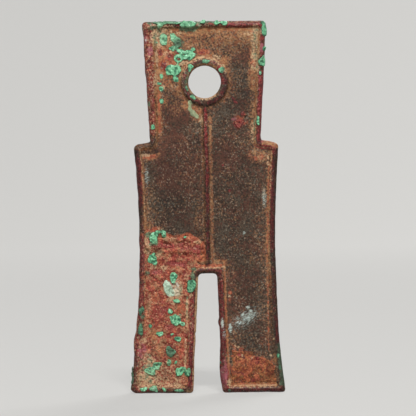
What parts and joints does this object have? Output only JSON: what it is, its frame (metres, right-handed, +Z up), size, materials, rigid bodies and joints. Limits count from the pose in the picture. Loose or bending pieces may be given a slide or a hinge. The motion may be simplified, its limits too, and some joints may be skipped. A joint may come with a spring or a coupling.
{
  "type": "spade coin",
  "caption": "Flat fork-legged bronze spade coin with a square head, a round string hole, raised rims and patches of green and red mineral crust.",
  "frame": {"origin": "centre of the footprint on the plane of the foot ends", "axes": "+Z up the blade to the head, +X to the right of the pictured face, which faces -Y"},
  "size_m": [0.0242, 0.0027, 0.0582],
  "materials": {
    "bronze": "worn brown patina",
    "malachite": "crystalline",
    "pale_malachite": "powdery",
    "cuprite": "granular",
    "chalk": "powdery"
  },
  "bodies": {
    "root": {"bronze_casting": "bronze", "top_edge_malachite": "malachite", "head_corner_malachite": "pale_malachite", "head_side_malachite": "malachite", "head_field_malachite": "malachite", "left_rim_malachite": "malachite", "collar_malachite": "malachite", "hole_drip_malachite": "pale_malachite", "head_cuprite": "cuprite", "waist_cuprite": "cuprite", "left_leg_cuprite": "cuprite", "waist_malachite": "malachite", "left_leg_malachite": "malachite", "leg_sheet_malachite": "pale_malachite", "left_leg_rim_malachite": "malachite", "gap_rim_malachite": "malachite", "left_foot_malachite": "malachite", "right_leg_rim_malachite": "malachite", "right_foot_cuprite": "cuprite", "right_leg_chalk": "chalk"}
  },
  "joints": []
}
